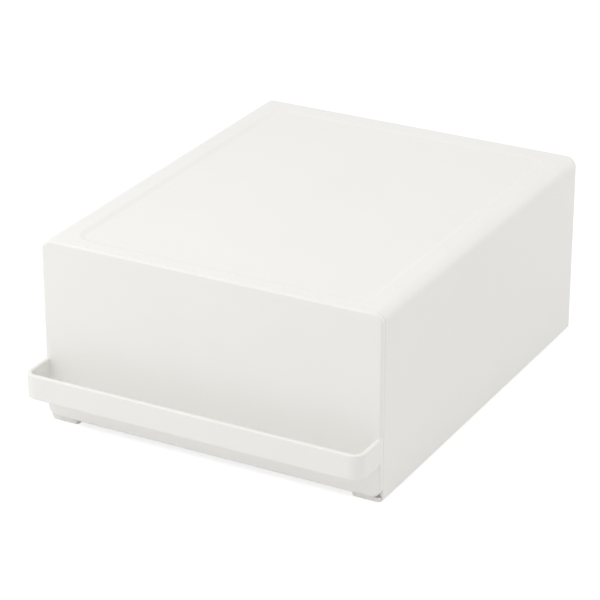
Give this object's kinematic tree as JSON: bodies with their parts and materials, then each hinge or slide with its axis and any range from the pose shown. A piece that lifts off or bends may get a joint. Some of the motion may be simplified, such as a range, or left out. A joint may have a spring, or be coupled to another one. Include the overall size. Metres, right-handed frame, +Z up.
{
  "type": "drawer rack",
  "caption": "Low sleeve with rounded long edges and a shallow recess in its top, holding a wide sliding drawer with a full-width U-shaped pull rail.",
  "frame": {"origin": "on the table, under the middle of the footprint of sleeve, drawer front and pull rail", "axes": "+X to the right seen from the front, +Y from the pull rail to the back, +Z up"},
  "size_m": [0.25, 0.3292, 0.132],
  "materials": {
    "white_case": "satin",
    "white_front": "satin",
    "white_tray": "satin",
    "grey_runner": "matt",
    "natural_glide": "waxy",
    "pale_rubber": "matt",
    "zinc_screw": "zinc plated"
  },
  "bodies": {
    "casing": {"casing_shell": "white_case", "rear_panel": "white_case", "base_panel": "white_case", "left_runner": "grey_runner", "right_runner": "grey_runner", "left_stop_peg": "natural_glide", "right_stop_peg": "natural_glide", "left_buffer": "pale_rubber", "right_buffer": "pale_rubber", "front_left_foot": "pale_rubber", "front_right_foot": "pale_rubber", "rear_left_foot": "pale_rubber", "rear_right_foot": "pale_rubber", "runner_screws": "zinc_screw", "rear_screws": "zinc_screw"},
    "drawer": {"drawer_tray": "white_tray", "drawer_front": "white_front", "handle_rail": "white_front", "left_glide": "natural_glide", "right_glide": "natural_glide", "front_screws": "zinc_screw"}
  },
  "joints": [
    {"name": "drawer_slide", "type": "slide", "parent": "casing", "child": "drawer", "axis": [0, -1, 0], "range_m": [0, 0.2]}
  ]
}
